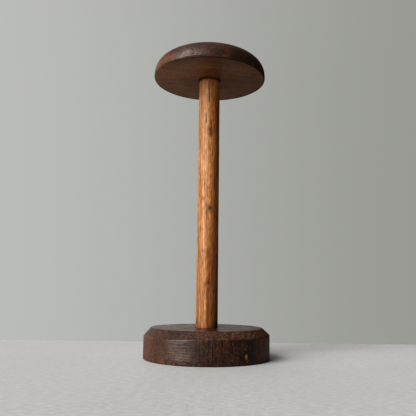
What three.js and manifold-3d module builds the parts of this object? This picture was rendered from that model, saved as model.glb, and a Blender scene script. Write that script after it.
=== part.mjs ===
// A turned wooden hat stand: a chamfered base disc, a dowel post and a domed cap.
// The post's ends are glued into blind sockets in the base and the cap, and a countersunk wood
// screw comes up through the base into the post. Millimetres, +Z up. The origin is the centre of
// the base's underside, which is where the stand rests.
import * as THREE from "three";
import { mergeVertices } from "three/addons/utils/BufferGeometryUtils.js";
import Module from "manifold-3d";

// ---- driving dimensions ----

const GAP = 0.3; // between two pieces that touch

const BASE_DIAMETER = 140;
const BASE_HEIGHT = 33.5;
const BASE_CHAMFER = 8; // round the top edge, at 45 degrees
const BASE_EASED_EDGE = 0.8; // round the bottom edge
const BASE_SOCKET_DEPTH = 20;

const POST_DIAMETER = 24.8; // a 25 mm dowel, sanded
const POST_END_CHAMFER = 1.2;

const CAP_UNDERSIDE_HEIGHT = 323.4; // above the table
const CAP_DIAMETER = 132.6; // at the widest point of the dome
const CAP_HEIGHT = 32.3;
const CAP_RIM_INSET = 0.6; // the flat underside's edge lies this far inside the widest point
const CAP_RIM_ROUNDING = 1.4; // height of the small rounding below the widest point
const CAP_DOME_FULLNESS = 2.6; // exponent of the dome's superellipse: 2 is an ellipse
const CAP_SOCKET_DEPTH = 16;

const SOCKET_MOUTH_CHAMFER = 0.4;

const SCREW_HEAD_DIAMETER = 9.4; // number 10 gauge
const SCREW_SHANK_DIAMETER = 4.8;
const SCREW_CORE_DIAMETER = 3.4; // under the thread
const SCREW_LENGTH = 44;
const SCREW_PLAIN_LENGTH = 16; // head and plain shank together
const SCREW_POINT_LENGTH = 5;
const SCREW_THREAD_PITCH = 2.2;
const SCREW_SLOT_WIDTH = 1.2;
const SCREW_SLOT_DEPTH = 1.3;
const SCREW_HEAD_RECESS = 1.2; // the head's face lies this far inside the base's underside

const DISC_SEGMENTS = 96;
const POST_SEGMENTS = 64;
const SCREW_SEGMENTS = 16;
const DOME_STEPS = 14;
const THREAD_STEPS_PER_TURN = 5;

// ---- sizes worked out from them ----

const BASE_RADIUS = BASE_DIAMETER / 2;
const CAP_RADIUS = CAP_DIAMETER / 2;
const POST_RADIUS = POST_DIAMETER / 2;
const SOCKET_RADIUS = POST_RADIUS + GAP;
const BASE_SOCKET_FLOOR = BASE_HEIGHT - BASE_SOCKET_DEPTH;
const CAP_SOCKET_ROOF = CAP_UNDERSIDE_HEIGHT + CAP_SOCKET_DEPTH;
const POST_BOTTOM = BASE_SOCKET_FLOOR + GAP;
const POST_TOP = CAP_SOCKET_ROOF - GAP;
const SCREW_HEAD_RADIUS = SCREW_HEAD_DIAMETER / 2;
const SCREW_SHANK_RADIUS = SCREW_SHANK_DIAMETER / 2;
const SCREW_HEAD_CONE = SCREW_HEAD_RADIUS - SCREW_SHANK_RADIUS; // a 90 degree countersink
const CLEARANCE_RADIUS = SCREW_SHANK_RADIUS + GAP;
const COUNTERSINK_RADIUS = SCREW_HEAD_RADIUS + GAP;
const PILOT_HOLE_ROOF = SCREW_HEAD_RECESS + SCREW_LENGTH + 1;

// ---- helpers ----

const wasm = await Module();
wasm.setup();

// A solid of revolution about Z from [radius, height] points, which start and end on the axis.
// The points run from the bottom of the axis outwards and up, so that the faces point out.
function turned(points, segments) {
  const profile = points.map(([radius, height]) => new THREE.Vector2(radius, height));
  const geometry = new THREE.LatheGeometry(profile, segments);
  geometry.rotateX(Math.PI / 2);
  return geometry;
}

// The geometry as a manifold-3d solid, with its shared vertices merged.
function toSolid(geometry) {
  const bare = geometry.clone();
  bare.deleteAttribute("normal");
  bare.deleteAttribute("uv");
  const merged = mergeVertices(bare, 1e-4);
  const mesh = new wasm.Mesh({
    numProp: 3,
    vertProperties: new Float32Array(merged.attributes.position.array),
    triVerts: new Uint32Array(merged.index.array),
  });
  return new wasm.Manifold(mesh);
}

// A manifold-3d solid as a three.js geometry.
function toGeometry(solid) {
  const mesh = solid.getMesh();
  const geometry = new THREE.BufferGeometry();
  geometry.setAttribute("position", new THREE.BufferAttribute(mesh.vertProperties, mesh.numProp));
  geometry.setIndex(new THREE.BufferAttribute(mesh.triVerts, 1));
  geometry.computeVertexNormals();
  return geometry;
}

function piece(name, geometry, color, roughness, metalness) {
  const material = new THREE.MeshStandardMaterial({ color, roughness, metalness });
  const mesh = new THREE.Mesh(geometry, material);
  mesh.name = name;
  return mesh;
}

// ---- base ----
// A disc with a chamfered top edge. It has a blind socket for the post in its top, and a
// countersunk clearance hole for the screw, up from the underside to the socket's floor.

function makeBase() {
  const sideTop = BASE_HEIGHT - BASE_CHAMFER;
  const countersinkTop = SCREW_HEAD_RECESS + COUNTERSINK_RADIUS - CLEARANCE_RADIUS;
  const outline = [
    [CLEARANCE_RADIUS, BASE_SOCKET_FLOOR],
    [CLEARANCE_RADIUS, countersinkTop],
    [COUNTERSINK_RADIUS, SCREW_HEAD_RECESS],
    [COUNTERSINK_RADIUS, 0],
    [BASE_RADIUS - BASE_EASED_EDGE, 0],
    [BASE_RADIUS, BASE_EASED_EDGE],
    [BASE_RADIUS, sideTop],
    [BASE_RADIUS - BASE_CHAMFER, BASE_HEIGHT],
    [SOCKET_RADIUS + SOCKET_MOUTH_CHAMFER, BASE_HEIGHT],
    [SOCKET_RADIUS, BASE_HEIGHT - SOCKET_MOUTH_CHAMFER],
    [SOCKET_RADIUS, BASE_SOCKET_FLOOR],
    [CLEARANCE_RADIUS, BASE_SOCKET_FLOOR],
  ];
  return piece("base", turned(outline, DISC_SEGMENTS), 0x3a241a, 0.5, 0);
}

// ---- post ----
// A plain dowel with its ends eased, and a pilot hole for the screw in its lower end.

function makePost() {
  const pilotRadius = SCREW_SHANK_RADIUS + GAP;
  const outline = [
    [0, PILOT_HOLE_ROOF],
    [pilotRadius, PILOT_HOLE_ROOF],
    [pilotRadius, POST_BOTTOM],
    [POST_RADIUS - POST_END_CHAMFER, POST_BOTTOM],
    [POST_RADIUS, POST_BOTTOM + POST_END_CHAMFER],
    [POST_RADIUS, POST_TOP - POST_END_CHAMFER],
    [POST_RADIUS - POST_END_CHAMFER, POST_TOP],
    [0, POST_TOP],
  ];
  return piece("post", turned(outline, POST_SEGMENTS), 0x9a5a2a, 0.45, 0);
}

// ---- cap ----
// A full dome on a flat underside, with a blind socket for the post in the underside.

function makeCap() {
  const widestHeight = CAP_UNDERSIDE_HEIGHT + CAP_RIM_ROUNDING;
  const domeHeight = CAP_HEIGHT - CAP_RIM_ROUNDING;
  const outline = [
    [0, CAP_SOCKET_ROOF],
    [SOCKET_RADIUS, CAP_SOCKET_ROOF],
    [SOCKET_RADIUS, CAP_UNDERSIDE_HEIGHT + SOCKET_MOUTH_CHAMFER],
    [SOCKET_RADIUS + SOCKET_MOUTH_CHAMFER, CAP_UNDERSIDE_HEIGHT],
    [CAP_RADIUS - CAP_RIM_INSET, CAP_UNDERSIDE_HEIGHT],
  ];
  for (let step = 0; step < DOME_STEPS; step += 1) {
    const angle = (step / DOME_STEPS) * (Math.PI / 2);
    const across = Math.cos(angle) ** (2 / CAP_DOME_FULLNESS);
    const up = Math.sin(angle) ** (2 / CAP_DOME_FULLNESS);
    outline.push([CAP_RADIUS * across, widestHeight + domeHeight * up]);
  }
  outline.push([0, CAP_UNDERSIDE_HEIGHT + CAP_HEIGHT]);
  return piece("cap", turned(outline, DISC_SEGMENTS), 0x38221a, 0.35, 0);
}

// ---- base screw ----
// A slotted countersunk wood screw, head down: a plain shank, then a thread that dies out at the
// gimlet point. The thread is a helical ridge, made by pushing the core's vertices outwards.

// How far a ridge stands out of the core, from 0 to 1, at an angle and a height above its start.
function threadRidge(angle, height) {
  const turns = height / SCREW_THREAD_PITCH - angle / (2 * Math.PI);
  const phase = turns - Math.floor(turns);
  return Math.max(0, 1 - 3 * Math.abs(phase - 0.5));
}

function makeScrew() {
  const coreRadius = SCREW_CORE_DIAMETER / 2;
  const threadDepth = SCREW_SHANK_RADIUS - coreRadius;
  const headFace = SCREW_HEAD_RECESS;
  const threadStart = headFace + SCREW_PLAIN_LENGTH;
  const tip = headFace + SCREW_LENGTH;
  const pointStart = tip - SCREW_POINT_LENGTH;
  const stepHeight = SCREW_THREAD_PITCH / THREAD_STEPS_PER_TURN;
  const steps = Math.round((tip - threadStart) / stepHeight);
  const outline = [
    [0, headFace],
    [SCREW_HEAD_RADIUS, headFace],
    [SCREW_SHANK_RADIUS, headFace + SCREW_HEAD_CONE],
    [SCREW_SHANK_RADIUS, threadStart - threadDepth],
  ];
  for (let step = 0; step < steps; step += 1) {
    const height = threadStart + ((tip - threadStart) * step) / steps;
    const narrowing = Math.min(1, (tip - height) / SCREW_POINT_LENGTH);
    outline.push([coreRadius * narrowing, height]);
  }
  outline.push([0, tip]);

  const geometry = turned(outline, SCREW_SEGMENTS);
  const position = geometry.attributes.position;
  for (let index = 0; index < position.count; index += 1) {
    const x = position.getX(index);
    const y = position.getY(index);
    const z = position.getZ(index);
    const radius = Math.hypot(x, y);
    if (z <= threadStart || z > pointStart + SCREW_POINT_LENGTH / 2 || radius === 0) continue;
    const ridge = threadRidge(Math.atan2(y, x), z - threadStart);
    const scale = (radius + threadDepth * ridge) / radius;
    position.setXY(index, x * scale, y * scale);
  }

  const slotHeight = 2 * SCREW_SLOT_DEPTH;
  const slot = new THREE.BoxGeometry(SCREW_HEAD_DIAMETER + 2, SCREW_SLOT_WIDTH, slotHeight);
  slot.translate(0, 0, headFace);
  const slotted = toSolid(geometry).subtract(toSolid(slot));
  return piece("base_screw", toGeometry(slotted), 0x8c8577, 0.4, 1);
}

// ---- the stand ----

const stand = new THREE.Group();
stand.name = "hat_stand";
stand.add(makeBase());
stand.add(makePost());
stand.add(makeCap());
stand.add(makeScrew());

export default stand;
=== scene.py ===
"""A turned wooden hat stand on a pale table top: a dark chamfered base, a honey-coloured dowel
and a dark domed cap. Metres, +Z up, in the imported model's own frame."""

import math
import random
from types import SimpleNamespace

import bpy
import numpy as np
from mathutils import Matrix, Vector, noise


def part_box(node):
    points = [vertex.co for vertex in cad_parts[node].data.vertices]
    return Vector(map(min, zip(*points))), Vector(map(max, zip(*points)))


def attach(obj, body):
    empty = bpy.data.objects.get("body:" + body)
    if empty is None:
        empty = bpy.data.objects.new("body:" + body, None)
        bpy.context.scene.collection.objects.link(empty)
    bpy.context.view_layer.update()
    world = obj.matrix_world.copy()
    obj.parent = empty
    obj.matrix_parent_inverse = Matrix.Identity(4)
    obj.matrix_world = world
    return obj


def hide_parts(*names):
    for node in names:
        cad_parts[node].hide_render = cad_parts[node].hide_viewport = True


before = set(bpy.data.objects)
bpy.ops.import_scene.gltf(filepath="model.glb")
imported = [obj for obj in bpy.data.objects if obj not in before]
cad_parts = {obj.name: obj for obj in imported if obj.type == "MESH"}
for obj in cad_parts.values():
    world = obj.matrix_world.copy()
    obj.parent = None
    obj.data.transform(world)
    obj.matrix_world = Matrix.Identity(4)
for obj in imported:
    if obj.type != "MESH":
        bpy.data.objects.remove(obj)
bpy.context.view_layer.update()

MM = 0.001

# ---- sizes, from the frame ----

base_low, base_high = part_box("base")
post_low, post_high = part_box("post")
cap_low, cap_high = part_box("cap")
screw_low, screw_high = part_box("base_screw")

BASE_RADIUS = base_high.x
BASE_HEIGHT = base_high.z
POST_RADIUS = post_high.x
CAP_RADIUS = cap_high.x
CAP_UNDERSIDE = cap_low.z
CAP_TOP = cap_high.z
SOCKET_GAP = 0.3 * MM
SOCKET_RADIUS = POST_RADIUS + SOCKET_GAP
SCREW_HEAD_RADIUS = screw_high.x

BASE_CHAMFER = 8 * MM
CAP_RIM_INSET = 0.6 * MM
CAP_RIM_ROUNDING = 1.4 * MM
CAP_DOME_FULLNESS = 2.6
SCREW_SHANK_RADIUS = 2.4 * MM
HIDDEN_SPACING = 2.5 * MM  # between the mesh's points inside the joints and under the base
CORNER_STEPS = 6

# ---- mesh helpers ----


def round_corner(before, corner, after, radius, steps):
    """Points of an arc of this radius that eases the corner between two straight edges."""
    to_before = (before - corner).normalized()
    to_after = (after - corner).normalized()
    half_angle = to_before.angle(to_after) / 2
    reach = radius / math.tan(half_angle)
    reach = min(reach, 0.45 * (before - corner).length, 0.45 * (after - corner).length)
    radius = reach * math.tan(half_angle)
    centre = corner + (to_before + to_after).normalized() * radius / math.sin(half_angle)
    first = corner + to_before * reach - centre
    last = corner + to_after * reach - centre
    turn = first.angle_signed(last)
    points = []
    for step in range(steps + 1):
        angle = -turn * step / steps
        cosine, sine = math.cos(angle), math.sin(angle)
        spoke = Vector((first.x * cosine - first.y * sine, first.x * sine + first.y * cosine))
        points.append(centre + spoke)
    return points


def outline(corners, spacing):
    """A turning profile from (radius, height, rounding) corners, with points at most spacing apart.
    Its two ends have no rounding."""
    places = [Vector((radius, height)) for radius, height, _ in corners]
    eased = []
    for index, (_, _, rounding) in enumerate(corners):
        if rounding and index < len(corners) - 1:
            before, corner, after = places[index - 1:index + 2]
            eased += round_corner(before, corner, after, rounding, CORNER_STEPS)
        else:
            eased.append(places[index])
    points = [eased[0]]
    for start, end in zip(eased, eased[1:]):
        count = max(1, math.ceil((end - start).length / spacing))
        for step in range(1, count + 1):
            points.append(start.lerp(end, step / count))
    return points


class Turned:
    """A solid of revolution about Z. An outline point on the axis becomes one vertex. Each vertex is
    painted with its distance along the outline, which the dark woods use for their tool marks."""

    def __init__(self, name, points, segments, closed=False):
        self.name = name
        along = [0.0]
        for start, end in zip(points, points[1:]):
            along.append(along[-1] + (end - start).length)
        vertices, distances, rings = [], [], []
        for point, distance in zip(points, along):
            on_axis = point.x < 1e-9
            ring = []
            for segment in range(1 if on_axis else segments):
                angle = 2 * math.pi * segment / segments
                ring.append(len(vertices))
                vertices.append((point.x * math.cos(angle), point.x * math.sin(angle), point.y))
                distances.append(distance)
            rings.append(ring)
        if closed:
            rings.append(rings[0])
        faces = []
        for lower, upper in zip(rings, rings[1:]):
            for segment in range(segments):
                after = (segment + 1) % segments
                if len(lower) == 1:
                    faces.append((lower[0], upper[after], upper[segment]))
                elif len(upper) == 1:
                    faces.append((lower[segment], lower[after], upper[0]))
                else:
                    faces.append((lower[segment], lower[after], upper[after], upper[segment]))
        self.points = np.array(vertices)
        self.faces = faces
        self.paint = {"along": np.array(distances)}

    def radii(self):
        return np.hypot(self.points[:, 0], self.points[:, 1])

    def azimuths(self):
        """Each vertex's azimuth in degrees: 0 at the front, 90 at the right-hand side."""
        return np.degrees(np.arctan2(self.points[:, 0], -self.points[:, 1]))

    def normals(self):
        mesh = bpy.data.meshes.new("scratch")
        mesh.from_pydata(self.points.tolist(), [], self.faces)
        mesh.update()
        normals = np.zeros(len(self.points) * 3)
        mesh.vertices.foreach_get("normal", normals)
        bpy.data.meshes.remove(mesh)
        return normals.reshape(-1, 3)

    def noise(self, scale, seed):
        """Smooth noise, about -1 to 1, at each vertex. The scale is its features' size in metres."""
        shift = Vector((seed * 17.3, seed * 5.1, seed * 9.7))
        return np.array([noise.noise(Vector(point) / scale + shift) for point in self.points])

    def push_in(self, depth):
        """Moves each vertex inwards along its normal. Depth never moves one outwards."""
        self.points = self.points - self.normals() * np.maximum(depth, 0)[:, None]

    def finish(self, material):
        mesh = bpy.data.meshes.new(self.name)
        mesh.from_pydata(self.points.tolist(), [], self.faces)
        mesh.update()
        mesh.polygons.foreach_set("use_smooth", [True] * len(mesh.polygons))
        for name, values in self.paint.items():
            layer = mesh.attributes.new(name, "FLOAT", "POINT")
            layer.data.foreach_set("value", np.asarray(values, dtype=np.float32))
        mesh.materials.append(material)
        piece = bpy.data.objects.new(self.name, mesh)
        bpy.context.scene.collection.objects.link(piece)
        return piece


def smooth(low, high, values):
    """0 below low, 1 above high, and a smooth step between them."""
    share = np.clip((values - low) / (high - low), 0, 1)
    return share * share * (3 - 2 * share)


def bowl(distance, radius):
    """1 at the centre of a dent, falling to 0 at its edge."""
    return np.clip(1 - (distance / radius) ** 2, 0, 1) ** 2


def place(azimuth, radius, height):
    """A point in the row frame. Azimuth 0 is the front, and 90 degrees is the right-hand side."""
    angle = math.radians(azimuth)
    return np.array([radius * math.sin(angle), -radius * math.cos(angle), height])


def turn_between(azimuth, other):
    """The turn from one azimuth to another, between -180 and 180 degrees."""
    return (azimuth - other + 180) % 360 - 180


def bell(azimuth, centre, width):
    """1 at one azimuth, and falling off smoothly on both sides of it."""
    return np.exp(-((turn_between(azimuth, centre) / width) ** 2))


def dents(turned, spots):
    """The depth of a set of (place, radius, depth) dents at each vertex."""
    total = np.zeros(len(turned.points))
    for centre, radius, depth in spots:
        distance = np.linalg.norm(turned.points - centre, axis=1)
        total = np.maximum(total, depth * bowl(distance, radius))
    return total


def random_dent(chance, centre, radii, depths):
    """A (place, radius, depth) dent of a random size between these limits, which are in mm."""
    return (centre, chance.uniform(*radii) * MM, chance.uniform(*depths) * MM)


def marks(turned, spots):
    """The paint of a set of upright oval marks in the base's side, from their azimuths in degrees and
    their heights and radii in mm."""
    upright = np.array([1.0, 1.0, 0.65])
    total = np.zeros(len(turned.points))
    for azimuth, height, radius in spots:
        aside = (turned.points - place(azimuth, BASE_RADIUS, height * MM)) * upright
        total = np.maximum(total, bowl(np.linalg.norm(aside, axis=1), radius * MM))
    return total


def edge_closeness(turned, radius, height, reach):
    """1 on a round edge of the piece, falling to 0 at a distance of reach from it."""
    distance = np.hypot(turned.radii() - radius, turned.points[:, 2] - height)
    return np.clip(1 - distance / reach, 0, 1)


# ---- node trees ----


class Nodes:
    """A node tree, with a method for each kind of node that the materials and the world use."""

    def __init__(self, tree):
        self.tree = tree

    def node(self, kind, inputs, **settings):
        made = self.tree.nodes.new("ShaderNode" + kind)
        for setting, value in settings.items():
            setattr(made, setting, value)
        for socket, value in inputs.items():
            self.plug(made.inputs[socket], value)
        return made

    def plug(self, socket, value):
        if isinstance(value, bpy.types.NodeSocket):
            self.tree.links.new(value, socket)
        else:
            socket.default_value = value

    def math(self, operation, first, second=0.0, third=0.0):
        made = self.node("Math", {0: first, 1: second, 2: third}, operation=operation)
        return made.outputs[0]

    def times(self, first, second):
        return self.math("MULTIPLY", first, second)

    def plus(self, first, second):
        return self.math("ADD", first, second)

    def times_plus(self, first, second, third):
        """The first times the second, plus the third."""
        return self.math("MULTIPLY_ADD", first, second, third)

    def add_vectors(self, first, second):
        return self.node("VectorMath", {0: first, 1: second}, operation="ADD").outputs[0]

    def split(self, vector):
        return self.node("SeparateXYZ", {0: vector}).outputs

    def join(self, x, y, z):
        return self.node("CombineXYZ", {0: x, 1: y, 2: z}).outputs[0]

    def facing(self, vector, axis):
        made = self.node("VectorMath", {0: vector, 1: axis}, operation="DOT_PRODUCT")
        return made.outputs["Value"]

    def remap(self, value, from_low, from_high, to_low=0.0, to_high=1.0):
        inputs = {0: value, 1: from_low, 2: from_high, 3: to_low, 4: to_high}
        return self.node("MapRange", inputs, interpolation_type="SMOOTHSTEP").outputs[0]

    def tint(self, color, factor):
        """The colour made lighter or darker by a factor."""
        made = self.node("VectorMath", {0: color, "Scale": factor}, operation="SCALE")
        return made.outputs[0]

    def mix(self, share, first, second):
        inputs = {0: share, 6: self.color(first), 7: self.color(second)}
        return self.node("Mix", inputs, data_type="RGBA").outputs[2]

    def color(self, value):
        return value if isinstance(value, bpy.types.NodeSocket) else (*value, 1)


class Material(Nodes):
    """A material, whose textures are solid ones in the row frame."""

    def __init__(self, name):
        self.material = bpy.data.materials.new(name)
        self.material.use_nodes = True
        super().__init__(self.material.node_tree)
        self.surface = self.tree.nodes["Principled BSDF"]
        self.place = self.node("TexCoord", {}).outputs["Object"]

    def set(self, socket, value):
        self.plug(self.surface.inputs[socket], value)

    def attribute(self, name):
        return self.node("Attribute", {}, attribute_name=name).outputs["Fac"]

    def mapping(self, vector, location=(0, 0, 0), rotation=(0, 0, 0), scale=(1, 1, 1)):
        inputs = {"Vector": vector, "Location": location, "Rotation": rotation, "Scale": scale}
        return self.node("Mapping", inputs).outputs[0]

    def noise(self, vector, scale=1.0, detail=2.0, roughness=0.5):
        inputs = {"Vector": vector, "Scale": scale, "Detail": detail, "Roughness": roughness}
        return self.node("TexNoise", inputs).outputs["Fac"]

    def grain(self, board, size, detail=3.0, roughness=0.6):
        """Noise with features of this (x, y, z) size in metres."""
        scale = tuple(1 / length for length in size)
        return self.noise(self.mapping(board, scale=scale), detail=detail, roughness=roughness)

    def ramp(self, value, stops):
        """A colour ramp from (position, colour) stops."""
        made = self.node("ValToRGB", {0: value})
        elements = made.color_ramp.elements
        while len(elements) < len(stops):
            elements.new(0.5)
        for element, (position, color) in zip(elements, stops):
            element.position = position
            element.color = (*color, 1)
        return made.outputs["Color"]

    def bump(self, height, distance, normal=None):
        inputs = {"Height": height, "Distance": distance, "Strength": 1.0}
        if normal is not None:
            inputs["Normal"] = normal
        return self.node("Bump", inputs).outputs[0]

    def growth_rings(self, first, second, pith, spacing, wobble):
        """How deep in the dark late wood of its growth ring each point is, from its two coordinates
        across the grain. wobble is a length that bends the rings."""
        across = self.math("SUBTRACT", first, pith[0])
        above = self.math("SUBTRACT", second, pith[1])
        squares = self.plus(self.times(across, across), self.times(above, above))
        distance = self.plus(self.math("SQRT", squares), wobble)
        phase = self.math("FRACT", self.math("DIVIDE", distance, spacing))
        return self.times(self.remap(phase, 0.2, 0.88), self.remap(phase, 1.0, 0.92))


# ---- woods ----

# near-black: fills the pores, and makes the grime and the painted shade
NEAR_BLACK = (0.010, 0.006, 0.004)
BOARD_SHIFT = Vector((0.37, 0.11, 0.23))  # between two pieces' boards in the solid texture
RING_SPACING = 3.4 * MM
RING_WOBBLE = 12 * MM
TOOL_LINE_SPACING = 0.9 * MM
TOOL_LINES_ROUND = 22  # per metre round the piece, so each line runs for about 45 mm
WRINKLE_SLANT = math.radians(-50)


def dark_wood(name, grain_angle, pith, stain, seed):
    """Old stained hardwood, turned on a lathe. The grain runs flat, at grain_angle from +X, and the
    growth rings are centred on a pith line at this (sideways, height) place. The mesh paints where the
    stain has faded and where it is lighter as painted light, where it is dry and where the dry colour
    lightens and darkens it as painted light and shade, the redder painted reflection under the cap,
    where wear and chips show bare wood, where the wood is speckled or streaky, where the polish is worn
    smooth or crazed, where the tool left lines, and the grime and painted shade."""
    shader = Material(name)
    turned = shader.mapping(shader.place, rotation=(0, 0, -grain_angle))
    board = shader.mapping(turned, location=BOARD_SHIFT * seed)
    wobble = shader.grain(board, (200 * MM, 36 * MM, 36 * MM), detail=2, roughness=0.5)
    _, sideways, height = shader.split(turned)
    pores = shader.grain(board, (7 * MM, 0.8 * MM, 0.8 * MM), detail=2)

    wood = SimpleNamespace(board=board, stain=stain)
    bend = shader.times(wobble, RING_WOBBLE)
    wood.rings = shader.growth_rings(sideways, height, pith, RING_SPACING, bend)
    wood.fibres = shader.grain(board, (26 * MM, 1.5 * MM, 1.5 * MM), detail=4, roughness=0.65)
    wood.pore_holes = shader.remap(pores, 0.58, 0.68)
    wood.mottle = shader.grain(board, (3.6 * MM, 1.8 * MM, 1.8 * MM), detail=3)
    wood.tool_marks = lathe_lines(shader)
    wood.lines = shader.attribute("lines")
    wood.dry = shader.attribute("dry")

    color = stained_color(shader, wood)
    color = grained_color(shader, wood, color)
    break_up = shader.noise(board, scale=420, detail=4, roughness=0.7)
    off_centre = shader.math("SUBTRACT", break_up, 0.5)
    worn = shader.remap(shader.times_plus(off_centre, 1.6, shader.attribute("wear")), 0.42, 0.85)
    shader.set("Base Color", aged_color(shader, wood, color, worn, off_centre))

    gloss = shader.noise(board, scale=60, detail=4, roughness=0.7)
    rough = shader.remap(gloss, 0.3, 0.7, 0.42, 0.56)
    rough = shader.times_plus(worn, 0.10, rough)
    rough = shader.times_plus(shader.attribute("polish"), -0.20, rough)
    shader.set("Roughness", rough)
    shader.set("Specular IOR Level", shader.times_plus(shader.attribute("sheen"), 0.4, 0.42))
    shader.set("Normal", dark_relief(shader, wood))
    return shader.material


def lathe_lines(shader):
    """Noise that changes fast along the turning profile and slowly round it, as tool marks do."""
    flat_x, flat_y, _ = shader.split(shader.place)
    along = shader.math("DIVIDE", shader.attribute("along"), TOOL_LINE_SPACING)
    round_x = shader.times(flat_x, TOOL_LINES_ROUND)
    round_y = shader.times(flat_y, TOOL_LINES_ROUND)
    return shader.noise(shader.join(along, round_x, round_y), detail=2, roughness=0.7)


def stained_color(shader, wood):
    """The stain, which is blotchy and redder in patches. Where the mesh says, it is lighter, faded and
    lit by painted light, and dry; the dry colour also gives painted light and shade, and its redder tone
    a painted reflection.
    """
    stain = wood.stain
    moved = shader.mapping(wood.board, location=(3, 1, 2))
    blotches = shader.noise(wood.board, scale=34, detail=3, roughness=0.6)
    patches = shader.noise(moved, scale=90, detail=4, roughness=0.6)
    off_balance = shader.times(shader.math("SUBTRACT", patches, 0.5), 0.7)

    color = shader.mix(shader.remap(blotches, 0.32, 0.66), stain["deep"], stain["middle"])
    color = shader.mix(shader.remap(patches, 0.46, 0.72), color, stain["red"])
    faded_and_lit = shader.mix(shader.remap(blotches, 0.35, 0.65, 0, 0.6), stain["faded_and_lit"], stain["red"])
    # lighter where the mesh paints fading and painted light
    fade_and_painted_light = shader.plus(shader.attribute("fade_and_painted_light"), off_balance)
    color = shader.mix(shader.remap(fade_and_painted_light, 0.25, 0.8), color, faded_and_lit)
    # the dry colour, also painted light and shade, redder where the mesh paints the post's painted
    # reflection
    redness_and_painted_reflection = shader.plus(shader.attribute("redness_and_painted_reflection"), off_balance)
    dry = shader.mix(redness_and_painted_reflection, stain["dry"], stain["dry_red"])
    return shader.mix(wood.dry, color, dry)


def grained_color(shader, wood, color):
    """The colour with its speckle, streaks, tool lines, fibres, growth rings and pores."""
    specks = shader.grain(wood.board, (1.7 * MM, 1.7 * MM, 1.7 * MM), detail=2)
    streaks = shader.grain(wood.board, (1.4 * MM, 1.4 * MM, 12 * MM), detail=2)
    coarse = shader.remap(wood.mottle, 0.3, 0.7, 0.55, 1.45)
    fine = shader.remap(specks, 0.3, 0.7, 0.6, 1.4)
    speckle = shader.math("SUBTRACT", shader.times(coarse, fine), 1.0)
    color = shader.tint(color, shader.times_plus(speckle, shader.attribute("mottled"), 1.0))
    lined = shader.remap(streaks, 0.35, 0.65, -0.5, 0.5)
    color = shader.tint(color, shader.times_plus(lined, shader.attribute("streaks"), 1.0))
    waxed = shader.remap(wood.tool_marks, 0.35, 0.65, -0.22, 0.22)
    color = shader.tint(color, shader.times_plus(waxed, wood.lines, 1.0))
    color = shader.tint(color, shader.remap(wood.fibres, 0.3, 0.7, 0.78, 1.22))
    color = shader.mix(shader.times(wood.rings, 0.25), color, wood.stain["deep"])
    finished = shader.math("SUBTRACT", 1.0, wood.dry)
    filled = shader.times(shader.times(wood.pore_holes, 0.55), finished)
    return shader.mix(filled, color, NEAR_BLACK)


def aged_color(shader, wood, color, worn, off_centre):
    """The colour with bare wood where it is worn, paler wood in the chips, and near-black grime and
    painted shade.
    """
    color = shader.mix(shader.times(worn, 0.75), color, wood.stain["bare"])
    chipped = shader.remap(shader.times_plus(off_centre, 1.2, shader.attribute("chip")), 0.35, 0.6)
    chip_color = shader.tint(wood.stain["chip"], shader.remap(wood.fibres, 0.3, 0.7, 0.6, 1.3))
    color = shader.mix(chipped, color, chip_color)
    # near-black where the mesh paints grime and painted shade
    grime_and_painted_shade = shader.times_plus(off_centre, 0.5, shader.attribute("grime_and_painted_shade"))
    return shader.mix(shader.remap(grime_and_painted_shade, 0.1, 0.9, 0, 0.9), color, NEAR_BLACK)


def dark_relief(shader, wood):
    """Fibres and pores, then the tool's lines, then the wrinkles of crazed polish."""
    relief = shader.times_plus(wood.pore_holes, -0.8, wood.fibres)
    relief = shader.times_plus(wood.mottle, 0.8, relief)
    relief = shader.times(relief, shader.times_plus(wood.dry, -0.4, 1.0))
    bumped = shader.bump(relief, 0.16 * MM)
    bumped = shader.bump(shader.times(wood.tool_marks, wood.lines), 0.5 * MM, normal=bumped)
    slanted = shader.mapping(shader.place, rotation=(0, WRINKLE_SLANT, 0))
    wrinkles = shader.grain(slanted, (1.6 * MM, 1.6 * MM, 3.6 * MM), detail=2)
    wrinkles = shader.times(wrinkles, shader.attribute("crazed"))
    return shader.bump(wrinkles, 1.3 * MM, normal=bumped)


DOWEL_PALE = (0.61, 0.34, 0.165)
DOWEL_AMBER = (0.45, 0.200, 0.066)
DOWEL_BROWN = (0.21, 0.078, 0.022)
DOWEL_FLECK = (0.13, 0.042, 0.014)
DOWEL_KNOT = (0.030, 0.012, 0.006)
DOWEL_CRACK = (0.05, 0.018, 0.009)
DOWEL_GRIME_AND_SHADE = (0.06, 0.024, 0.010)
DOWEL_PITH = (-9 * MM, 30 * MM)  # its (x, y) place, outside the dowel
DOWEL_RING_SPACING = 2.6 * MM
DOWEL_RING_WOBBLE = 5 * MM


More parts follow.
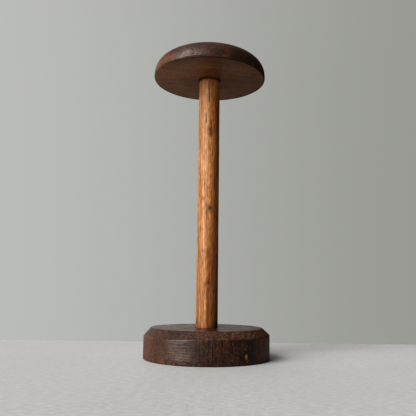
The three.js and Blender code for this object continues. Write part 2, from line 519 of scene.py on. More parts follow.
def honey_wood(name):
    """A straight-grained dowel under amber shellac. The grain runs along Z. The mesh paints the knots,
    the cracks, how the fibres flow around the knots, how pale the wood is, partly as painted light and
    shade, the darker foot at the base, and the painted shade at the top under the cap."""
    shader = Material(name)
    x, y, z = shader.split(shader.place)
    bent = shader.join(shader.plus(x, shader.attribute("flow")), y, z)
    board = shader.mapping(bent, rotation=(math.radians(0.6), math.radians(-0.5), 0))
    wobble = shader.grain(board, (18 * MM, 18 * MM, 110 * MM), detail=2, roughness=0.5)
    first, second, _ = shader.split(board)
    bend = shader.times(wobble, DOWEL_RING_WOBBLE)
    rings = shader.growth_rings(first, second, DOWEL_PITH, DOWEL_RING_SPACING, bend)

    fibres = shader.grain(board, (1.5 * MM, 1.5 * MM, 42 * MM), detail=4, roughness=0.65)
    fine = shader.grain(board, (0.6 * MM, 0.6 * MM, 12 * MM), detail=3)
    ripples = shader.grain(board, (1.6 * MM, 1.6 * MM, 6 * MM), detail=3)
    fleck_noise = shader.grain(board, (0.9 * MM, 0.9 * MM, 7 * MM), detail=2)
    flecks = shader.remap(fleck_noise, 0.60, 0.68)
    clouds = shader.grain(board, (14 * MM, 14 * MM, 55 * MM), detail=3, roughness=0.55)

    # paler and darker wood, partly painted light and shade
    lightness = shader.times_plus(shader.attribute("sapwood_and_painted_light"), 0.10, fibres)
    color = shader.ramp(lightness, [(0.30, DOWEL_BROWN), (0.47, DOWEL_AMBER), (0.66, DOWEL_PALE)])
    color = shader.mix(shader.remap(clouds, 0.3, 0.75, 0, 0.45), color, DOWEL_AMBER)
    color = shader.mix(shader.times(rings, 0.42), color, DOWEL_BROWN)
    fine_shade = shader.remap(fine, 0.3, 0.7, 0.74, 1.24)
    ripple_shade = shader.remap(ripples, 0.3, 0.7, 0.74, 1.24)
    color = shader.tint(color, shader.times(fine_shade, ripple_shade))
    color = shader.mix(shader.times(flecks, 0.42), color, DOWEL_FLECK)
    color = shader.mix(shader.times(shader.attribute("halo"), 0.7), color, DOWEL_BROWN)
    color = shader.mix(shader.times(shader.attribute("knot"), 0.95), color, DOWEL_KNOT)
    color = shader.mix(shader.times(shader.attribute("crack"), 0.9), color, DOWEL_CRACK)
    # darker at the foot, and painted shade at the top under the cap
    color = shader.mix(shader.times(shader.attribute("grime_and_painted_shade"), 0.6), color, DOWEL_GRIME_AND_SHADE)
    shader.set("Base Color", color)

    rough = shader.remap(fibres, 0.3, 0.7, 0.38, 0.27)
    rough = shader.times_plus(flecks, 0.12, rough)
    rough = shader.times_plus(clouds, 0.10, rough)
    shader.set("Roughness", rough)
    shader.set("Specular IOR Level", 0.42)
    relief = shader.times_plus(flecks, -0.6, fibres)
    relief = shader.times_plus(ripples, 0.7, relief)
    shader.set("Normal", shader.bump(relief, 0.2 * MM))
    return shader.material


STEEL_DARK = (0.20, 0.185, 0.16)
STEEL_BRIGHT = (0.36, 0.34, 0.30)
RUST = (0.10, 0.035, 0.014)


def aged_steel(name):
    """The screw: dull steel with file marks across it and spots of rust."""
    shader = Material(name)
    rust = shader.remap(shader.noise(shader.place, scale=900, detail=5, roughness=0.7), 0.52, 0.66)
    brushed = shader.grain(shader.place, (2 * MM, 0.11 * MM, 2 * MM), detail=2, roughness=0.5)
    tint = shader.ramp(brushed, [(0.3, STEEL_DARK), (0.7, STEEL_BRIGHT)])
    shader.set("Base Color", shader.mix(rust, tint, RUST))
    shader.set("Metallic", shader.math("SUBTRACT", 1.0, rust))
    shader.set("Roughness", shader.times_plus(rust, 0.4, 0.38))
    shader.set("Normal", shader.bump(shader.plus(brushed, rust), 0.05 * MM))
    return shader.material


# ---- base ----

DISC_SEGMENTS = 560  # round the base and the cap
BASE_SPACING = 0.88 * MM  # between the mesh's points along the outline that shows
BASE_SEED = 11
BASE_SIDE_TOP = BASE_HEIGHT - BASE_CHAMFER
BASE_TOP_RADIUS = BASE_RADIUS - BASE_CHAMFER
BASE_GRAIN_ANGLE = math.radians(-16)
BASE_PITH = (12 * MM, -52 * MM)
CHAMFER_UNEVEN = 0.9 * MM  # the chamfer was cut a little off true: it is wider on the left
CHIP_DEPTH = 0.8 * MM
CHIP_SHADOW_DEPTH = 0.4 * MM

# (azimuth, height, radius) of the chips in the base's side, and of the shallow dents beside the two
# largest, which are painted near-black as the chips' shadows
CHIPS = [(35.2, 8.8, 3.3), (36.6, 3.8, 1.2), (34.5, 15.8, 1.3), (61, 15.0, 1.5)]
CHIPS += [(-128, 7.0, 2.4), (164, 12.0, 1.8)]
CHIP_SHADOWS = [(31.6, 7.0, 3.0), (-131, 8.0, 2.6)]

# (azimuth, width) of each stretch of the side and the rim that has aged in its own way; the faded and
# dry stretches at the sides are also painted light
POLISHED_RIM = (-25, 12)
TOOL_LINES = (-24, 13)
SIDE_SHEEN = (-22, 15)
FEWER_STREAKS = (-27, 17)
MORE_STREAKS = (10, 12)
WORN_BOTTOM = (-40, 32)
SOUND_RIM = (-66, 26)
FADED_AND_LIT_LEFT = (-66, 44)
FADED_AND_LIT_RIGHT = (76, 40)
WORN_RIGHT = (84, 24)
DRY_LIT_RIGHT = (84, 22)

BASE_STAIN = {
    "deep": (0.037, 0.0162, 0.0098),
    "middle": (0.065, 0.0290, 0.0170),
    "red": (0.088, 0.0345, 0.0185),
    # the faded colour also gives painted light, and the dry colours painted light at the right
    "faded_and_lit": (0.112, 0.050, 0.029),
    "bare": (0.25, 0.115, 0.060),
    "chip": (0.32, 0.19, 0.10),
    "dry": (0.26, 0.15, 0.085),
    "dry_red": (0.19, 0.09, 0.045),
}


def base_outline():
    """The closed outline: out and up the side, in across the top, then down the socket and the screw's
    hole and back underneath."""
    clearance = SCREW_SHANK_RADIUS + SOCKET_GAP
    countersink = SCREW_HEAD_RADIUS + SOCKET_GAP
    recess = screw_low.z
    floor = post_low.z - SOCKET_GAP
    beside_socket = SOCKET_RADIUS + 1 * MM
    shown_side = [
        (BASE_TOP_RADIUS, 0, 0),
        (BASE_RADIUS, 0, 1.1 * MM),
        (BASE_RADIUS, BASE_SIDE_TOP, 2.0 * MM),
        (BASE_TOP_RADIUS, BASE_HEIGHT, 0.9 * MM),
        (beside_socket, BASE_HEIGHT, 0),
    ]
    hidden_side = [
        (beside_socket, BASE_HEIGHT, 0),
        (SOCKET_RADIUS, BASE_HEIGHT, 0.4 * MM),
        (SOCKET_RADIUS, floor, 0),
        (clearance, floor, 0),
        (clearance, recess + countersink - clearance, 0),
        (countersink, recess, 0),
        (countersink, 0, 0.2 * MM),
        (BASE_TOP_RADIUS, 0, 0),
    ]
    return outline(shown_side, BASE_SPACING) + outline(hidden_side, HIDDEN_SPACING)[1:-1]


def tip_chamfer(base):
    """Raises the chamfer's lower edge on the right and lowers it on the left."""
    height = base.points[:, 2]
    outside = base.radii() > BASE_TOP_RADIUS
    shift = CHAMFER_UNEVEN * base.points[:, 0] / BASE_RADIUS
    from_edges = np.minimum(height / BASE_SIDE_TOP, (BASE_HEIGHT - height) / BASE_CHAMFER)
    base.points[:, 2] += np.where(outside, shift * np.clip(from_edges, 0, 1), 0)


def base_regions(base):
    """Each vertex's radius, height and azimuth, and how far it is in each region of the base, from 0
    to 1, all before the surface is worn."""
    radii = base.radii()
    height = base.points[:, 2]
    azimuth = base.azimuths()
    on = SimpleNamespace(radii=radii, height=height, azimuth=azimuth)
    on.underneath = height < 0.3 * MM
    on.side = smooth(BASE_SIDE_TOP + 0.5 * MM, BASE_SIDE_TOP - 1.5 * MM, height)
    on.side = on.side * smooth(3 * MM, 6 * MM, height)
    on.chamfer = smooth(BASE_SIDE_TOP - 0.5 * MM, BASE_SIDE_TOP + 1 * MM, height)
    on.chamfer = on.chamfer * smooth(BASE_TOP_RADIUS - 1 * MM, BASE_TOP_RADIUS, radii)
    on.top = smooth(BASE_HEIGHT - 1 * MM, BASE_HEIGHT - 0.4 * MM, height)
    on.top = on.top * smooth(BASE_TOP_RADIUS, BASE_TOP_RADIUS - 1 * MM, radii)
    on.rim = edge_closeness(base, BASE_RADIUS, BASE_SIDE_TOP, 2.6 * MM)
    on.shining = bell(azimuth, *POLISHED_RIM)
    return on


def base_dents(base, chance):
    """Dents along the three edges, in the side and in the top."""
    spots = []
    edges = [(BASE_RADIUS, 0.3 * MM, 34), (BASE_RADIUS, BASE_SIDE_TOP, 30)]
    edges += [(BASE_TOP_RADIUS, BASE_HEIGHT, 26)]
    for radius, level, count in edges:
        for _ in range(count):
            centre = place(chance.uniform(0, 360), radius, level + chance.uniform(-0.6, 0.6) * MM)
            spots.append(random_dent(chance, centre, (1.4, 3.4), (0.15, 0.5)))
    for _ in range(60):
        centre = place(chance.uniform(0, 360), BASE_RADIUS, chance.uniform(2, 24) * MM)
        spots.append(random_dent(chance, centre, (1.2, 3.0), (0.08, 0.28)))
    for _ in range(40):
        centre = place(chance.uniform(0, 360), chance.uniform(20, 60) * MM, BASE_HEIGHT)
        spots.append(random_dent(chance, centre, (1.2, 3.0), (0.06, 0.2)))
    return dents(base, spots)


def bare_dots(base, chance):
    """Spots along the bottom edge where the stain is knocked off."""
    dots = []
    for _ in range(30):
        centre = place(chance.gauss(-48, 20), BASE_RADIUS, chance.uniform(1.2, 3.2) * MM)
        dots.append((centre, chance.uniform(0.8, 1.4) * MM, 0.7))
    for _ in range(16):
        centre = place(chance.gauss(-8, 3), BASE_RADIUS, chance.uniform(1.6, 6.5) * MM)
        dots.append((centre, chance.uniform(0.9, 1.3) * MM, 0.9))
    return dents(base, dots)


def paint_base_wear(base, on, depth, chip, chip_shadow, chance):
    """Paints the wear, the fading and painted light, the chips, the darker ring round the post, and the
    painted shade along the bottom edge and beside the chips.
    """
    bottom = edge_closeness(base, BASE_RADIUS, 0, 3.4 * MM)
    bottom = bottom * (0.30 + 0.35 * bell(on.azimuth, *WORN_BOTTOM)) + 0.7 * bare_dots(base, chance)
    rim = edge_closeness(base, BASE_RADIUS, BASE_SIDE_TOP, 2.0 * MM) * 0.38
    rim = rim * (1 - on.shining) * (1 - 0.7 * bell(on.azimuth, *SOUND_RIM))
    top_edge = edge_closeness(base, BASE_TOP_RADIUS, BASE_HEIGHT, 1.8 * MM) * 0.36
    right = 0.5 * bell(on.azimuth, *WORN_RIGHT)
    right = right * smooth(BASE_SIDE_TOP, BASE_SIDE_TOP - 2 * MM, on.height)
    worn_edges = np.maximum.reduce([bottom, rim, top_edge, right])
    base.paint["wear"] = worn_edges + 0.12 * depth / (0.5 * MM)

    # painted light: the left and right sides and the top are lighter, as fading and as painted light
    faded_and_lit_sides = np.maximum(
        0.80 * bell(on.azimuth, *FADED_AND_LIT_LEFT),
        0.85 * bell(on.azimuth, *FADED_AND_LIT_RIGHT),
    )
    side_fade_and_light = faded_and_lit_sides * (1 - on.top) + 0.2 * on.top
    # painted light: the chamfer is lighter towards the right
    lit_chamfer = np.clip(0.55 + 0.55 * base.points[:, 0] / BASE_RADIUS, 0.05, 1.0)
    base.paint["fade_and_painted_light"] = side_fade_and_light * (1 - on.chamfer) + lit_chamfer * on.chamfer

    # darker in a ring round the post
    at_post = smooth(SOCKET_RADIUS + 2.0 * MM, SOCKET_RADIUS, on.radii)
    at_post = at_post * smooth(BASE_HEIGHT - 2 * MM, BASE_HEIGHT - 0.5 * MM, on.height)
    # painted shade: near-black along the bottom edge where it meets the table
    at_table = smooth(1.1 * MM, 0.5 * MM, on.height) * (on.radii > BASE_TOP_RADIUS)
    base.paint["chip"] = chip
    base.paint["grime_and_painted_shade"] = np.maximum.reduce([at_post, at_table, chip_shadow])


def paint_base_finish(base, on):
    """Paints the gloss, the tool's lines, the streaks and speckle, where the wood is dry, and the
    painted light that lightens the right of the chamfer and the right-hand side with the dry colour.
    """
    rightward = np.clip(0.5 + 0.5 * base.points[:, 0] / BASE_RADIUS, 0, 1)
    faint_lines = 0.15 + 0.1 * base.noise(25 * MM, 6)
    base.paint["lines"] = on.side * np.maximum(bell(on.azimuth, *TOOL_LINES), faint_lines)
    base.paint["polish"] = np.maximum(on.rim * (0.3 + 0.9 * on.shining), 0.8 * on.top)
    side_sheen = 0.9 * bell(on.azimuth, *SIDE_SHEEN) * on.side
    chamfer_sheen = (0.3 + 0.4 * rightward) * on.chamfer
    sheens = [side_sheen, on.rim * on.shining, chamfer_sheen, 0.55 * on.top]
    base.paint["sheen"] = np.maximum.reduce(sheens)
    streaks = 0.5 + 0.7 * rightward + 0.8 * bell(on.azimuth, *MORE_STREAKS)
    streaks = streaks * (1 - 0.6 * bell(on.azimuth, *FEWER_STREAKS))
    base.paint["streaks"] = on.side * streaks + 0.7 * on.chamfer
    base.paint["mottled"] = 0.30 + 0.8 * rightward + (0.3 + 0.4 * rightward) * on.chamfer
    # painted light: the dry colour lightens the right of the chamfer and the right-hand side
    dry_chamfer = 0.42 * rightward ** 2 * on.chamfer
    dry_right = 0.45 * (bell(on.azimuth, *DRY_LIT_RIGHT) * on.side)
    base.paint["dry"] = np.maximum.reduce([1.0 * on.underneath, dry_chamfer, dry_right])
    base.paint["redness_and_painted_reflection"] = smooth(20 * MM, 64 * MM, on.radii) * (1 - 0.6 * on.chamfer)
    base.paint["crazed"] = np.clip(base.noise(16 * MM, 7), 0, 1) * 0.3


def make_base():
    base = Turned("base_body", base_outline(), DISC_SEGMENTS, closed=True)
    tip_chamfer(base)
    on = base_regions(base)

    wander = 0.5 + 0.5 * base.noise(38 * MM, 1)
    ripple = 0.5 + 0.5 * base.noise(7 * MM, 2)
    shown = smooth(SOCKET_RADIUS, SOCKET_RADIUS + 6 * MM, on.radii) * ~on.underneath
    depth = shown * (0.16 * MM * wander + 0.06 * MM * ripple)
    chance = random.Random(BASE_SEED)
    undented = np.minimum(1, 1.6 * on.rim) * on.shining
    depth = np.maximum(depth, base_dents(base, chance) * (1 - undented))
    chip = marks(base, CHIPS)
    # shallow dents beside the chips, painted near-black as their shadows
    chip_shadow = marks(base, CHIP_SHADOWS)
    base.push_in(depth + CHIP_DEPTH * chip + CHIP_SHADOW_DEPTH * chip_shadow)

    paint_base_wear(base, on, depth, chip, chip_shadow, chance)
    paint_base_finish(base, on)
    piece = base.finish(dark_wood("base_wood", BASE_GRAIN_ANGLE, BASE_PITH, BASE_STAIN, seed=1))
    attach(piece, "root")
    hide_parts("base")


# ---- post ----

POST_SEGMENTS = 160
POST_SPACING = 1.0 * MM
POST_SEED = 23

# (azimuth, height, radius) of each knot and (azimuth, start, end, half width) of each crack, in
# degrees and millimetres
KNOTS = [(8.6, 258.9, 1.7), (9.0, 254.5, 1.3), (10.6, 166.9, 1.9), (5.6, 82.6, 1.8), (-68, 39.4, 1.6)]
KNOTS += [(150, 205, 1.8), (-125, 120, 1.5), (95, 290, 1.3)]
CRACKS = [(-0.4, 322, 291, 0.6), (-14.5, 281, 265, 0.7), (-12, 70, 84, 0.5), (128, 90, 130, 0.6)]


def post_outline():
    """From the pilot hole's roof, down the hole, out, up the side and in across the top."""
    pilot = SCREW_SHANK_RADIUS + SOCKET_GAP
    pilot_roof = screw_high.z + 1 * MM
    corners = [
        (0, pilot_roof, 0),
        (pilot, pilot_roof, 0),
        (pilot, post_low.z, 0),
        (POST_RADIUS, post_low.z, 1.2 * MM),
        (POST_RADIUS, post_high.z, 1.2 * MM),
        (0, post_high.z, 0),
    ]
    return outline(corners, POST_SPACING)


def paint_knots(post, azimuth, height):
    """Paints each knot, the brown halo round it, and how far it pushes the fibres aside."""
    knots = np.zeros(len(azimuth))
    halo = np.zeros(len(azimuth))
    flow = np.zeros(len(azimuth))
    for knot_azimuth, knot_height, knot_radius in KNOTS:
        aside = POST_RADIUS * np.radians(turn_between(azimuth, knot_azimuth))
        above = height - knot_height * MM
        distance = np.hypot(aside, 0.6 * above)
        knots = np.maximum(knots, bowl(distance, knot_radius * MM))
        halo = np.maximum(halo, bowl(distance, 3.0 * knot_radius * MM))
        push = np.exp(-((aside / (2.8 * MM)) ** 2) - (above / (9 * MM)) ** 2)
        flow -= np.sign(aside) * 1.6 * MM * push * np.minimum(1, np.abs(aside) / (0.6 * MM))
    post.paint["knot"] = knots
    post.paint["halo"] = halo
    post.paint["flow"] = flow


def paint_cracks(post, azimuth, height, chance):
    """Paints the cracks, and many short fine ones at random."""
    cracks = list(CRACKS)
    for _ in range(44):
        start = chance.uniform(36, 312)
        length = chance.uniform(4, 16)
        cracks.append((chance.uniform(-180, 180), start, start + length, chance.uniform(0.3, 0.5)))
    paint = np.zeros(len(azimuth))
    for crack_azimuth, start, end, half_width in cracks:
        low = min(start, end) * MM
        high = max(start, end) * MM
        sway = 2.2 * np.sin((height - low) / (5.5 * MM))
        aside = POST_RADIUS * np.radians(turn_between(azimuth, crack_azimuth + sway))
        inside = smooth(low, low + 3 * MM, height) * smooth(high, high - 3 * MM, height)
        paint = np.maximum(paint, inside * bowl(aside, half_width * MM * 1.3))
    post.paint["crack"] = paint


def paint_sapwood_and_light(post, azimuth, height):
    """Paints how pale the wood is: lighter and darker bands round the dowel, darker low down, partly
    painted light and shade. The paler band at the front and the paler wood under the cap are painted
    light, and the darker band at the right and the darker wood low down are painted shade.
    """
    # painted light at the front, painted shade at the right and low down
    band = 1.2 * bell(azimuth, -8, 17) + 0.8 * bell(azimuth, 110, 30) + 0.8 * bell(azimuth, -140, 25)
    band = band - 0.9 * bell(azimuth, 8, 20) * smooth(140 * MM, 60 * MM, height)
    band = band - 0.8 * smooth(150 * MM, 60 * MM, height) - 0.9 * bell(azimuth, 62, 24) - 0.1
    # painted light: paler just under the cap
    near_cap = smooth(280 * MM, 306 * MM, height) * bell(azimuth, -30, 40)
    post.paint["sapwood_and_painted_light"] = band + 1.4 * near_cap


def post_dents(post, chance):
    """Dents all over the part of the dowel that shows."""
    spots = []
    for _ in range(60):
        centre = place(chance.uniform(-180, 180), POST_RADIUS, chance.uniform(38, 318) * MM)
        spots.append(random_dent(chance, centre, (1.2, 3.2), (0.06, 0.22)))
    return dents(post, spots)


def make_post():
    post = Turned("post_dowel", post_outline(), POST_SEGMENTS)
    height = post.points[:, 2]
    azimuth = post.azimuths()
    outside = smooth(0.8 * POST_RADIUS, 0.95 * POST_RADIUS, post.radii())
    stretched = post.points * np.array([1.0, 1.0, 0.25])
    wander = np.array([0.5 + 0.5 * noise.noise(Vector(point) / (9 * MM)) for point in stretched])
    ridges = np.array([0.5 + 0.5 * noise.noise(Vector(point) / (2.6 * MM)) for point in stretched])
    depth = outside * (0.14 * MM * wander + 0.07 * MM * ridges)

    chance = random.Random(POST_SEED)
    paint_knots(post, azimuth, height)
    paint_cracks(post, azimuth, height, chance)
    depth = np.maximum(depth, post_dents(post, chance) * outside)
    depth = depth + outside * (0.28 * MM * post.paint["crack"] + 0.25 * MM * post.paint["knot"])
    post.push_in(depth)

    paint_sapwood_and_light(post, azimuth, height)
    # darker at the foot, by the base
    at_base = smooth(BASE_HEIGHT + 4 * MM, BASE_HEIGHT, height) * (0.7 + 0.3 * post.noise(3 * MM, 5))
    # painted shade: the top of the dowel is very dark under the cap
    at_cap = smooth(CAP_UNDERSIDE - 3.4 * MM, CAP_UNDERSIDE - 1.6 * MM, height)
    post.paint["grime_and_painted_shade"] = np.maximum(0.6 * at_base, 1.5 * at_cap)

    piece = post.finish(honey_wood("post_wood"))
    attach(piece, "root")
    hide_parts("post")


# ---- cap ----

CAP_SPACING = 1.1 * MM  # between the mesh's points across the underside
DOME_STEPS = 100
CAP_SEED = 37
CAP_LEAN = math.radians(0.8)  # the cap's glue joint has let it tip a little to the right
CAP_WIDEST = CAP_UNDERSIDE + CAP_RIM_ROUNDING
CAP_DOME = CAP_TOP - CAP_WIDEST
CAP_RIM_RADIUS = CAP_RADIUS - CAP_RIM_INSET
CAP_GRAIN_ANGLE = math.radians(8)
CAP_PITH = (-8 * MM, CAP_UNDERSIDE + 70 * MM)

# (azimuth, width) of the stretches of the dome that have aged in their own way; the rubbed left is also
# painted light
RUBBED_AND_LIT_LEFT = (-62, 34)
POLISHED_FRONT = (-17, 14)
WRINKLED_FRONT = (-15, 10)
DOME_SHEEN = (-20, 18)

CAP_STAIN = {
    "deep": (0.051, 0.023, 0.0125),
    "middle": (0.084, 0.038, 0.0215),
    "red": (0.112, 0.047, 0.025),
    # the faded colour also gives painted light, the dry colour painted shade at the right, and the
    # redder dry colour the post's painted reflection
    "faded_and_lit": (0.192, 0.076, 0.030),
    "bare": (0.27, 0.115, 0.050),
    "chip": (0.42, 0.24, 0.12),
    "dry": (0.240, 0.112, 0.048),
    "dry_red": (0.156, 0.046, 0.009),
}


def cap_outline():
    """From the socket's roof down to the underside, out to the rim, and over the dome, which is a
    quarter of a superellipse."""
    roof = post_high.z + SOCKET_GAP
    in_socket = CAP_UNDERSIDE + 1 * MM
    socket = [(0, roof, 0), (SOCKET_RADIUS, roof, 0), (SOCKET_RADIUS, in_socket, 0)]
    underside = [
        (SOCKET_RADIUS, in_socket, 0),
        (SOCKET_RADIUS, CAP_UNDERSIDE, 0.4 * MM),
        (CAP_RIM_RADIUS, CAP_UNDERSIDE, 0.7 * MM),
        (CAP_RADIUS, CAP_WIDEST, 0),
    ]
    points = outline(socket, HIDDEN_SPACING) + outline(underside, CAP_SPACING)[1:]
    for step in range(1, DOME_STEPS):
        angle = step / DOME_STEPS * math.pi / 2
        across = math.cos(angle) ** (2 / CAP_DOME_FULLNESS)
        up = math.sin(angle) ** (2 / CAP_DOME_FULLNESS)
        points.append(Vector((CAP_RADIUS * across, CAP_WIDEST + CAP_DOME * up)))
    points.append(Vector((0, CAP_WIDEST + CAP_DOME)))
    return points


def cap_dents(cap, on, chance):
    """Dents along the rim, all over the dome, and close together where the front is wrinkled."""
    spots = []
    for _ in range(34):
        azimuth = chance.uniform(0, 360)
        level = CAP_UNDERSIDE + chance.uniform(0, 1) * MM
        centre = place(azimuth, CAP_RADIUS - 0.3 * MM, level)
        spots.append(random_dent(chance, centre, (1.3, 3.2), (0.12, 0.4)))
    dome_points = cap.points[on.dome]
    for _ in range(90):
        centre = dome_points[chance.randrange(len(dome_points))]
        spots.append(random_dent(chance, centre, (1.2, 3.5), (0.08, 0.3)))
    for _ in range(46):
        level = chance.uniform(2, 15) * MM
        share = (1 - (level / CAP_DOME) ** CAP_DOME_FULLNESS) ** (1 / CAP_DOME_FULLNESS)
        centre = place(chance.uniform(-36, -6), CAP_RADIUS * share, CAP_WIDEST + level)
        spots.append(random_dent(chance, centre, (1.2, 2.2), (0.2, 0.42)))
    return dents(cap, spots)


def paint_cap_wear(cap, on):
    """Paints the wear, the fading with painted light on the left, and the painted shade. The cap has no
    chips.
    """
    left = bell(on.azimuth, *RUBBED_AND_LIT_LEFT)
    rim = edge_closeness(cap, CAP_RIM_RADIUS, CAP_UNDERSIDE, 3.0 * MM) * (0.15 + 0.55 * left)
    # the left of the dome is lighter, as wear and as painted light
    rubbed_and_lit = left * smooth(20 * MM, 3 * MM, on.above_rim) * on.dome
    cap.paint["wear"] = np.maximum(rim, 0.30 * rubbed_and_lit)
    cap.paint["fade_and_painted_light"] = rubbed_and_lit
    cap.paint["chip"] = np.zeros(len(on.radii))

    # painted shade: a dark ring round the post under the cap
    at_post = smooth(SOCKET_RADIUS + 1.0 * MM, SOCKET_RADIUS, on.radii)
    # painted shade: a dark line along the rim's lower edge, wider behind and faint on the lit left
    lit_left_edge = smooth(-32, -48, on.azimuth) * smooth(-120, -90, on.azimuth)
    behind = smooth(0, 25 * MM, cap.points[:, 1])
    shaded_rim_edge = edge_closeness(cap, CAP_RIM_RADIUS, CAP_UNDERSIDE, (1.4 + 1.6 * behind) * MM)
    shaded_rim_edge = 1.3 * shaded_rim_edge * (1 - 0.9 * lit_left_edge)
    # painted shade: the front of the underside is darker
    shaded_front = 0.46 * smooth(-18 * MM, -62 * MM, cap.points[:, 1]) * on.underneath
    cap.paint["grime_and_painted_shade"] = np.maximum.reduce([at_post * ~on.dome, shaded_rim_edge, shaded_front])


def paint_cap_finish(cap, on):
    """Paints the gloss and the wrinkles, the lines, streaks and speckle, where the underside is dry,
    with painted shade that darkens it towards the right, and the redder painted reflection round the
    post.
    """
    cap.paint["lines"] = 0.25 * np.clip(cap.noise(25 * MM, 6) + 0.4, 0, 1) * on.dome
    low_down = smooth(16 * MM, 9 * MM, on.above_rim)
    shining = bell(on.azimuth, *POLISHED_FRONT) * low_down * on.dome
    cap.paint["polish"] = 0.6 * shining + 0.4 * smooth(16 * MM, 26 * MM, on.above_rim)
    high_up = smooth(12 * MM, 26 * MM, on.above_rim)
    front_sheen = 0.9 * bell(on.azimuth, *DOME_SHEEN)
    cap.paint["sheen"] = np.maximum(front_sheen, 0.1 + 1.0 * high_up) * on.dome
    cap.paint["streaks"] = 0.2 * on.dome
    cap.paint["mottled"] = np.where(on.dome, 0.65, 0.45)
    # painted shade: the dry underside is darker towards the right
    rightward = smooth(-20 * MM, 50 * MM, cap.points[:, 0])
    cap.paint["dry"] = on.underneath * (1 - 0.35 * rightward)
    # painted reflection: the underside is redder round the post
    cap.paint["redness_and_painted_reflection"] = 0.5 * smooth(50 * MM, 22 * MM, on.radii)
    wrinkled = bell(on.azimuth, *WRINKLED_FRONT) * low_down * on.dome
    cap.paint["crazed"] = np.maximum(wrinkled, 0.2 * np.clip(cap.noise(16 * MM, 7), 0, 1))


def lean_cap(cap):
    """Tips the cap to the right about the middle of its underside."""
    cosine = math.cos(CAP_LEAN)
    sine = math.sin(CAP_LEAN)
    x = cap.points[:, 0].copy()
    z = cap.points[:, 2] - CAP_UNDERSIDE
    cap.points[:, 0] = x * cosine + z * sine
    cap.points[:, 2] = CAP_UNDERSIDE + z * cosine - x * sine


def make_cap():
    cap = Turned("cap_dome", cap_outline(), DISC_SEGMENTS)
    height = cap.points[:, 2]
    on = SimpleNamespace(radii=cap.radii(), azimuth=cap.azimuths())
    on.dome = height > CAP_WIDEST
    on.underneath = height < CAP_UNDERSIDE + 0.3 * MM
    on.above_rim = height - CAP_WIDEST

    shown = np.maximum(smooth(SOCKET_RADIUS, SOCKET_RADIUS + 6 * MM, on.radii), on.dome)
    wander = 0.5 + 0.5 * cap.noise(30 * MM, 3)
    ripple = 0.5 + 0.5 * cap.noise(6 * MM, 4)
    depth = shown * (0.30 * MM * wander + 0.08 * MM * ripple)
    depth = np.maximum(depth, cap_dents(cap, on, random.Random(CAP_SEED)))
    cap.push_in(depth)

    paint_cap_wear(cap, on)
    paint_cap_finish(cap, on)
    lean_cap(cap)
    piece = cap.finish(dark_wood("cap_wood", CAP_GRAIN_ANGLE, CAP_PITH, CAP_STAIN, seed=2))
    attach(piece, "root")
    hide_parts("cap")


# ---- stage, camera and light ----

TABLE_BACK = 0.18
TABLE_FRONT = -5.0
TABLE_HALF_WIDTH = 5.0
TABLE_THICKNESS = 0.03
TABLE_EDGE_ROUNDING = 3 * MM
TABLE_DARKER = (0.625, 0.63, 0.637)
TABLE_LIGHTER = (0.655, 0.66, 0.667)


def pale_table():
    shader = Material("pale_table")
    clouds = shader.noise(shader.place, scale=9, detail=4, roughness=0.6)
    grit = shader.grain(shader.place, (7 * MM, 2.6 * MM, 3 * MM), detail=4, roughness=0.7)
    color = shader.ramp(clouds, [(0.3, TABLE_DARKER), (0.7, TABLE_LIGHTER)])
    shader.set("Base Color", shader.tint(color, shader.remap(grit, 0.3, 0.7, 0.90, 1.08)))
    shader.set("Roughness", shader.remap(grit, 0.3, 0.7, 0.78, 0.92))
    shader.set("Specular IOR Level", 0.3)
    shader.set("Normal", shader.bump(grit, 0.5 * MM))
    return shader.material


def make_table():
    left, right = -TABLE_HALF_WIDTH, TABLE_HALF_WIDTH
    corners = [(left, TABLE_FRONT), (right, TABLE_FRONT), (right, TABLE_BACK), (left, TABLE_BACK)]
    vertices = [(x, y, -TABLE_THICKNESS) for x, y in corners] + [(x, y, 0) for x, y in corners]
    faces = [(3, 2, 1, 0), (4, 5, 6, 7)]
    faces += [(side, (side + 1) % 4, (side + 1) % 4 + 4, side + 4) for side in range(4)]
    mesh = bpy.data.meshes.new("table")
    mesh.from_pydata(vertices, [], faces)
    mesh.materials.append(pale_table())
    table = bpy.data.objects.new("table", mesh)
    bpy.context.scene.collection.objects.link(table)
    edge = table.modifiers.new("eased_edges", "BEVEL")
    edge.width = TABLE_EDGE_ROUNDING
    edge.segments = 4


# the room as light: (direction, from, to, lowest, colour) of each soft source, which shines from where
# the direction's cosine is "to", fades out at "from", and reaches down to the height "lowest"
ROOM_LIGHTS = [
    ((-0.55, 0.835, 0.0), 0.56, 0.95, -0.6, (0.52, 0.51, 0.495)),
    ((-0.45, 0.0, 0.89), 0.0, 0.95, -0.1, (0.24, 0.232, 0.22)),
]
ROOM_GLOOM = (0.008, 0.0065, 0.005)
LOWEST_FADE = 0.15  # how gradually a source starts above its lowest height
# the wall's painted shading: lighter at the left, on the window's side, and darker at the right
WALL_LEFT = (0.395, 0.40, 0.388)
WALL_RIGHT = (0.275, 0.278, 0.260)
WALL_TURN = 0.45  # the wall's colour changes while the direction's x goes from minus this to this


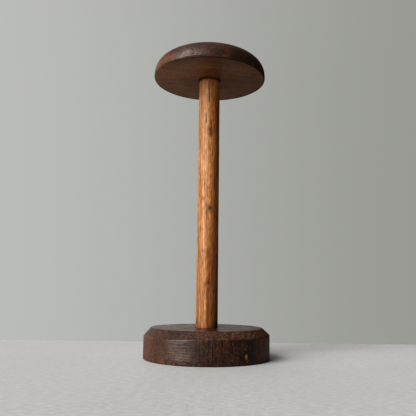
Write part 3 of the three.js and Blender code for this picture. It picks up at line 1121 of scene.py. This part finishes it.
def make_world():
    """A pale wall to the camera, with painted shading: lighter on the window's side at the left and
    darker to the right. As light, it is a dim room with that wall behind the stand and a pale ceiling,
    both brighter on the window's side, and it is nearly dark steeply below."""
    world = bpy.data.worlds.new("studio")
    bpy.context.scene.world = world
    world.use_nodes = True
    nodes = Nodes(world.node_tree)
    nodes.tree.nodes.clear()
    direction = nodes.node("TexCoord", {}).outputs["Generated"]
    x, _, z = nodes.split(direction)
    shown = nodes.mix(nodes.remap(x, -WALL_TURN, WALL_TURN), WALL_LEFT, WALL_RIGHT)
    light = ROOM_GLOOM
    for axis, low, high, lowest, color in ROOM_LIGHTS:
        share = nodes.remap(nodes.facing(direction, axis), low, high)
        share = nodes.times(share, nodes.remap(z, lowest, lowest + LOWEST_FADE))
        light = nodes.add_vectors(light, nodes.tint(color, share))
    seen = nodes.node("Background", {"Color": shown})
    lit = nodes.node("Background", {"Color": light})
    to_camera = nodes.node("LightPath", {}).outputs["Is Camera Ray"]
    both = nodes.node("MixShader", {0: to_camera, 1: lit.outputs[0], 2: seen.outputs[0]})
    nodes.node("OutputWorld", {"Surface": both.outputs[0]})


def add_light(name, azimuth, elevation, width, strength, color):
    """Soft light from far away, from an azimuth and elevation round the stand. Its width is the angle
    that it fills."""
    flat = place(azimuth, 1, 0) * math.cos(math.radians(elevation))
    direction = Vector((flat[0], flat[1], math.sin(math.radians(elevation))))
    data = bpy.data.lights.new(name, "SUN")
    data.angle = math.radians(width)
    data.energy = strength
    data.color = color
    light = bpy.data.objects.new(name, data)
    bpy.context.scene.collection.objects.link(light)
    light.location = direction
    light.rotation_mode = "QUATERNION"
    light.rotation_quaternion = (-direction).to_track_quat("-Z", "Y")
    return light


WINDOW_COLOR = (1.0, 0.985, 0.97)
FILL_COLOR = (1.0, 0.97, 0.93)


def make_lights():
    """A tall window at the front left, as an upper and a lower part, and a weak fill that keeps the back
    from going black."""
    add_light("upper_window", azimuth=-42, elevation=41, width=34, strength=1.55, color=WINDOW_COLOR)
    add_light("lower_window", azimuth=-52, elevation=13, width=30, strength=1.45, color=WINDOW_COLOR)
    fill = add_light("fill", azimuth=180, elevation=25, width=45, strength=0.16, color=FILL_COLOR)
    fill.visible_glossy = False


CAMERA_DISTANCE = 0.5968
CAMERA_HEIGHT = 0.0752
CAMERA_TILT_UP = math.radians(8.89)
CAMERA_ROLL = math.radians(0.68)
CAMERA_LENS = 45.08  # mm, on a full-frame sensor
SENSOR_WIDTH = 36


def make_camera():
    data = bpy.data.cameras.new("camera")
    data.sensor_width = SENSOR_WIDTH
    data.lens = CAMERA_LENS
    camera = bpy.data.objects.new("camera", data)
    bpy.context.scene.collection.objects.link(camera)
    camera.location = (0, -CAMERA_DISTANCE, CAMERA_HEIGHT)
    camera.rotation_euler = (math.pi / 2 + CAMERA_TILT_UP, 0, 0)
    camera.rotation_euler.rotate_axis("Z", CAMERA_ROLL)
    bpy.context.scene.camera = camera


def dress_screw():
    """The screw's CAD shape is right, so it only gets its steel."""
    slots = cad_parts["base_screw"].data.materials
    slots.clear()
    slots.append(aged_steel("screw_steel"))


make_camera()
make_base()
make_post()
make_cap()
dress_screw()
make_table()
make_world()
make_lights()
bpy.context.scene.view_settings.view_transform = "Standard"
bpy.context.scene.view_settings.look = "High Contrast"

bpy.context.view_layer.update()
